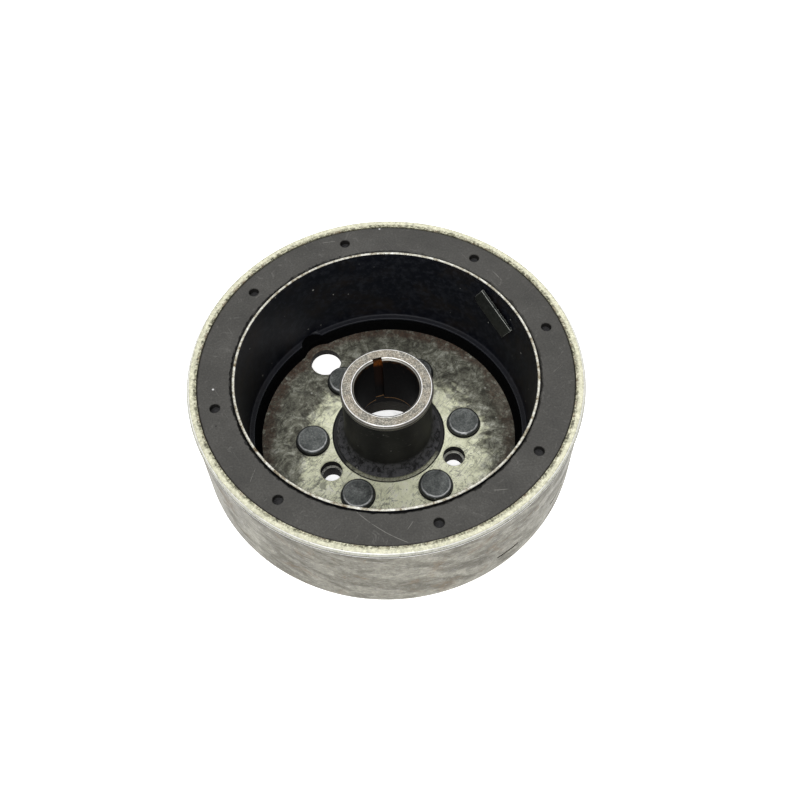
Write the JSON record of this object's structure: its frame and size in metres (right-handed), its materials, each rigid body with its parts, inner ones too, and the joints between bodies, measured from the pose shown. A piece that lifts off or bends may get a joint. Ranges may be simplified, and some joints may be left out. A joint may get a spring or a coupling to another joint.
{
  "type": "outer-rotor magneto flywheel",
  "caption": "Cup-shaped engine flywheel with a moulded ring of arc magnets, a riveted taper-bore hub with a keyway, and bolt holes for a starter clutch.",
  "frame": {"origin": "on the rotor's axis at the hub flange's underside, which is the lowest face", "axes": "+Z along the axis towards the bowl's open side, +X through a rivet, +Y through a bolt hole"},
  "size_m": [0.121, 0.121, 0.046],
  "materials": {
    "bowl_steel": "pale worn plating with scuffs, dark specks and a little rust",
    "hub_steel": "black oiled steel with a bright ground end face",
    "rivet_steel": "dark blue-grey steel",
    "resin": "matt charcoal moulding resin, finely scratched",
    "ferrite": "dull dark grey",
    "liner_steel": "near-black steel with a bright worn lip",
    "strip_steel": "dark steel with bright edges"
  },
  "bodies": {
    "rotor": {"bowl": "bowl_steel", "hub": "hub_steel", "rivet_1": "rivet_steel", "rivet_2": "rivet_steel", "rivet_3": "rivet_steel", "rivet_4": "rivet_steel", "rivet_5": "rivet_steel", "rivet_6": "rivet_steel", "magnet_carrier": "resin", "magnet_1": "ferrite", "magnet_2": "ferrite", "magnet_3": "ferrite", "magnet_4": "ferrite", "liner_sleeve": "liner_steel"},
    "strip": {"loose_strip": "strip_steel"}
  },
  "joints": [
    {"name": "strip_lift", "type": "slide", "parent": "rotor", "child": "strip", "axis": [0, 0, 1], "range_m": [0, 0.02]}
  ]
}
